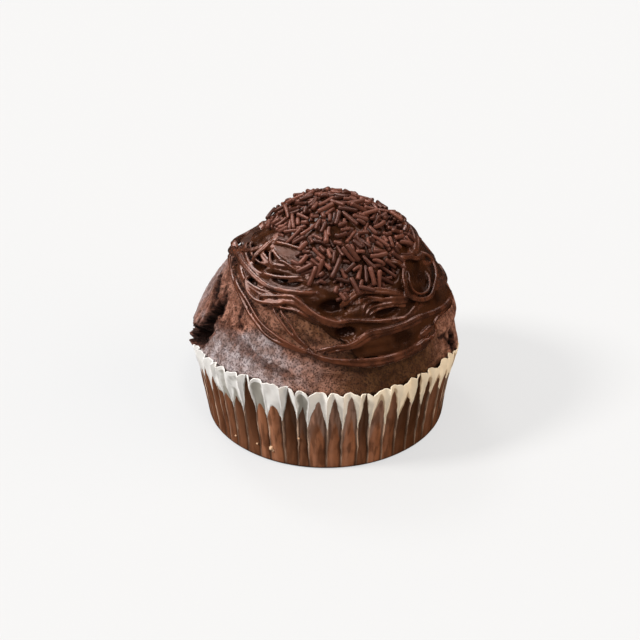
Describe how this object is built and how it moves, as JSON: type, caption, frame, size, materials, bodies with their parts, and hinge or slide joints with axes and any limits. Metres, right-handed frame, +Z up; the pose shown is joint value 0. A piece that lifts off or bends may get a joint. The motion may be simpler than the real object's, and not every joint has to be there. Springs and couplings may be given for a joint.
{
  "type": "chocolate muffin",
  "caption": "Domed chocolate muffin in a pleated paper case, with poured chocolate icing in strands and chocolate vermicelli on top.",
  "frame": {"origin": "middle of the paper case's flat underside, on the surface that the muffin stands on", "axes": "+Z up through the dome; -Y is the front, the side that the picture shows; +X is the right side"},
  "size_m": [0.0674, 0.0676, 0.0594],
  "materials": {
    "chocolate_cake": "matte",
    "chocolate_icing": "gloss",
    "case_paper": "satin"
  },
  "bodies": {
    "root": {"cake": "chocolate_cake", "icing": "chocolate_icing", "paper_case": "case_paper"}
  },
  "joints": []
}
